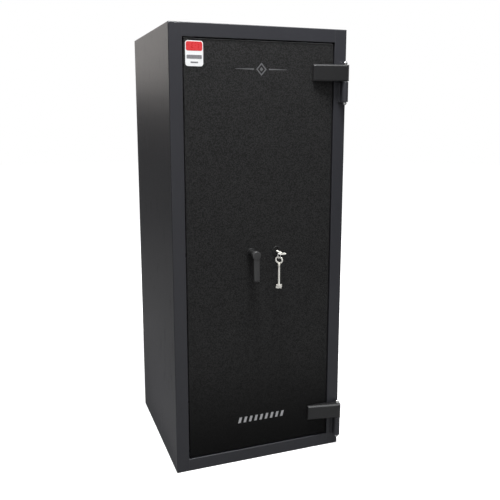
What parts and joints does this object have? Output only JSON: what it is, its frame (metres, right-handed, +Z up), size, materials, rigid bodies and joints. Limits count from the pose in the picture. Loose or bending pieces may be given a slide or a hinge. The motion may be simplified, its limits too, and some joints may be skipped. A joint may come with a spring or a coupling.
{
  "type": "gun safe",
  "caption": "Tall fire-lined steel cabinet for long guns, one door on outside hinges, lever boltwork and key lock, shelf, barrel rests and inner locker.",
  "frame": {"origin": "centre of the base footprint, at floor level", "axes": "+Z up, front with the door faces -Y, +X to the right seen from the front"},
  "size_m": [0.616, 0.6331, 1.5],
  "materials": {
    "body_paint": "satin powder coat",
    "fire_board": "mineral fire board, matt",
    "carpet": "short-pile needle-felt carpet",
    "rubber_mat": "ribbed rubber",
    "zinc_plate": "zinc plated sheet",
    "bright_steel": "ground bright steel",
    "washer_steel": "plain steel",
    "locker_paint": "fine-texture powder coat",
    "door_paint": "leather-grain black powder coat",
    "hinge_paint": "semi-matt black powder coat",
    "black_fitting": "black",
    "handle_black": "soft-satin black",
    "seal_rubber": "intumescent strip",
    "brass": "machined",
    "hard_steel": "hardened plate",
    "lock_zinc": "yellow-passivated zinc",
    "badge_gloss": "glossy printed plate",
    "ornament_print": "flat printed film",
    "key_nickel": "nickel plated",
    "ring_steel": "polished wire"
  },
  "bodies": {
    "cabinet": {"side_panel_left": "body_paint", "side_panel_right": "body_paint", "top_panel": "body_paint", "bottom_panel": "body_paint", "back_panel": "body_paint", "frame_post_left": "body_paint", "frame_post_right": "body_paint", "frame_rail_top": "body_paint", "frame_rail_bottom": "body_paint", "wall_fireboards": "fire_board", "liner_left": "carpet", "liner_right": "carpet", "liner_back": "carpet", "liner_top": "carpet", "liner_floor": "carpet", "floor_mat": "rubber_mat", "shelf": "carpet", "shelf_brackets": "zinc_plate", "barrel_rack": "carpet", "hinge_knuckle_upper": "body_paint", "hinge_knuckle_lower": "body_paint", "hinge_pins": "bright_steel", "hinge_washers": "washer_steel", "locker_partition": "locker_paint", "locker_hinge_posts": "zinc_plate"},
    "door": {"door_plate": "door_paint", "door_tray": "zinc_plate", "door_fireboard": "fire_board", "inner_cover": "zinc_plate", "inner_cover_trim": "carpet", "cover_screws": "bright_steel", "fire_seal": "seal_rubber", "hinge_leaf_upper": "hinge_paint", "hinge_leaf_lower": "hinge_paint", "fixed_dead_bolts": "bright_steel", "bolt_guides": "brass", "hard_plate": "hard_steel", "lock_case": "lock_zinc", "lock_screws": "bright_steel", "handle_bush": "black_fitting", "keyhole_escutcheon": "black_fitting", "corner_badge": "badge_gloss", "ornament_upper": "ornament_print", "ornament_lower": "ornament_print"},
    "handle": {"handle_lever": "handle_black", "handle_spindle": "zinc_plate", "crank_disc": "zinc_plate"},
    "side_boltwork": {"side_bolt_bar": "zinc_plate", "side_bolts": "bright_steel"},
    "top_boltwork": {"top_bolt_rod": "bright_steel"},
    "bottom_boltwork": {"bottom_bolt_rod": "bright_steel"},
    "deadlock": {"lock_bolt": "brass"},
    "key": {"key_in_lock": "key_nickel"},
    "split_ring": {"key_ring": "ring_steel"},
    "hanging_key": {"spare_key": "key_nickel"},
    "locker_leaf": {"locker_door": "locker_paint", "locker_cam_lock": "bright_steel"},
    "locker_latch": {"locker_cam": "zinc_plate"}
  },
  "joints": [
    {"name": "door_swing", "type": "hinge", "parent": "cabinet", "child": "door", "pos_m": [0.297, -0.302, 0.75], "axis": [0, 0, 1], "range_deg": [0, 170]},
    {"name": "handle_turn", "type": "hinge", "parent": "door", "child": "handle", "pos_m": [-0.034, -0.2875, 0.756], "axis": [0, 1, 0], "range_deg": [0, 90]},
    {"name": "side_bolts_slide", "type": "slide", "parent": "door", "child": "side_boltwork", "axis": [-1, 0, 0], "range_m": [0, 0.02405]},
    {"name": "top_bolt_slide", "type": "slide", "parent": "door", "child": "top_boltwork", "axis": [0, 0, 1], "range_m": [0, 0.02405]},
    {"name": "bottom_bolt_slide", "type": "slide", "parent": "door", "child": "bottom_boltwork", "axis": [0, 0, -1], "range_m": [0, 0.02405]},
    {"name": "key_turn", "type": "hinge", "parent": "door", "child": "key", "pos_m": [0.0585, -0.3325, 0.756], "axis": [0, -1, 0], "range_deg": [0, 90]},
    {"name": "lock_bolt_slide", "type": "slide", "parent": "door", "child": "deadlock", "axis": [-1, 0, 0], "range_m": [0, 0.00901]},
    {"name": "ring_hang", "type": "hinge", "parent": "key", "child": "split_ring", "pos_m": [0.04664, -0.33406, 0.756], "axis": [0, -1, 0], "range_deg": [-90, 0]},
    {"name": "hanging_key_swing", "type": "hinge", "parent": "split_ring", "child": "hanging_key", "pos_m": [0.04664, -0.33406, 0.7415], "axis": [0.766, 0.6428, 0], "range_deg": [-25, 25]},
    {"name": "locker_door_swing", "type": "hinge", "parent": "cabinet", "child": "locker_leaf", "pos_m": [0.274, 0, 1.3], "axis": [0, 0, 1], "range_deg": [0, 82]},
    {"name": "locker_cam_turn", "type": "hinge", "parent": "locker_leaf", "child": "locker_latch", "pos_m": [0.097, 0, 1.335], "axis": [0, 1, 0], "range_deg": [0, 90]}
  ],
  "couplings": [
    {"joint": "side_bolts_slide", "follows": "handle_turn", "m_per_rad": 0.015304},
    {"joint": "top_bolt_slide", "follows": "handle_turn", "m_per_rad": 0.015304},
    {"joint": "bottom_bolt_slide", "follows": "handle_turn", "m_per_rad": 0.015304},
    {"joint": "lock_bolt_slide", "follows": "key_turn", "m_per_rad": 0.00573},
    {"joint": "ring_hang", "follows": "key_turn", "ratio": -1}
  ]
}
